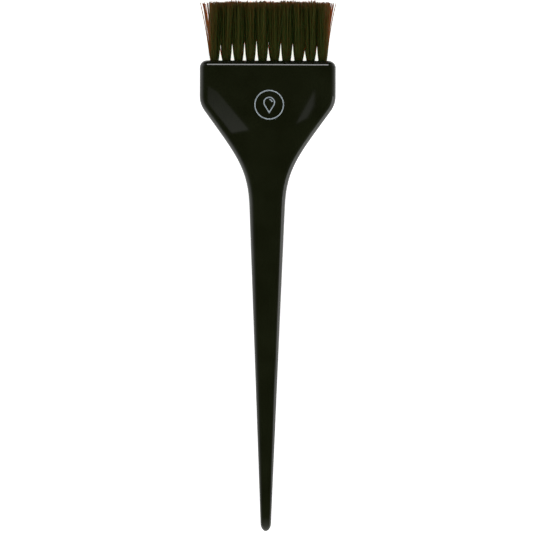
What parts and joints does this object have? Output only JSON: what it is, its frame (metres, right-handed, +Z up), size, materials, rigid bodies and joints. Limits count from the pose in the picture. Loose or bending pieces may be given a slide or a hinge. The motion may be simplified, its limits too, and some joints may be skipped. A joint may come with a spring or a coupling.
{
  "type": "tint brush",
  "caption": "Hairdresser's tint brush: glossy one-piece handle with a wide flat head, sloping neck and pointed tail, and two rows of nylon tufts held by wire anchors.",
  "frame": {"origin": "on the surface that the brush lies on, under the middle of its overall length and width", "axes": "+X along the brush towards the bristle tips, +Z up out of the marked front face, +Y across the head"},
  "size_m": [0.2145, 0.0552, 0.0119],
  "materials": {
    "handle_plastic": "polished black injection moulding",
    "bristle_nylon": "extruded nylon filament, dark red-brown, slightly translucent",
    "anchor_wire": "drawn flat wire",
    "mark_ink": "pale grey pad-printing ink"
  },
  "bodies": {
    "root": {"handle": "handle_plastic", "printed_mark": "mark_ink", "tuft_front_01": "bristle_nylon", "tuft_front_02": "bristle_nylon", "tuft_front_03": "bristle_nylon", "tuft_front_04": "bristle_nylon", "tuft_front_05": "bristle_nylon", "tuft_front_06": "bristle_nylon", "tuft_front_07": "bristle_nylon", "tuft_front_08": "bristle_nylon", "tuft_front_09": "bristle_nylon", "tuft_front_10": "bristle_nylon", "tuft_back_01": "bristle_nylon", "tuft_back_02": "bristle_nylon", "tuft_back_03": "bristle_nylon", "tuft_back_04": "bristle_nylon", "tuft_back_05": "bristle_nylon", "tuft_back_06": "bristle_nylon", "tuft_back_07": "bristle_nylon", "tuft_back_08": "bristle_nylon", "tuft_back_09": "bristle_nylon", "tuft_back_10": "bristle_nylon", "anchor_front_01": "anchor_wire", "anchor_front_02": "anchor_wire", "anchor_front_03": "anchor_wire", "anchor_front_04": "anchor_wire", "anchor_front_05": "anchor_wire", "anchor_front_06": "anchor_wire", "anchor_front_07": "anchor_wire", "anchor_front_08": "anchor_wire", "anchor_front_09": "anchor_wire", "anchor_front_10": "anchor_wire", "anchor_back_01": "anchor_wire", "anchor_back_02": "anchor_wire", "anchor_back_03": "anchor_wire", "anchor_back_04": "anchor_wire", "anchor_back_05": "anchor_wire", "anchor_back_06": "anchor_wire", "anchor_back_07": "anchor_wire", "anchor_back_08": "anchor_wire", "anchor_back_09": "anchor_wire", "anchor_back_10": "anchor_wire"}
  },
  "joints": []
}
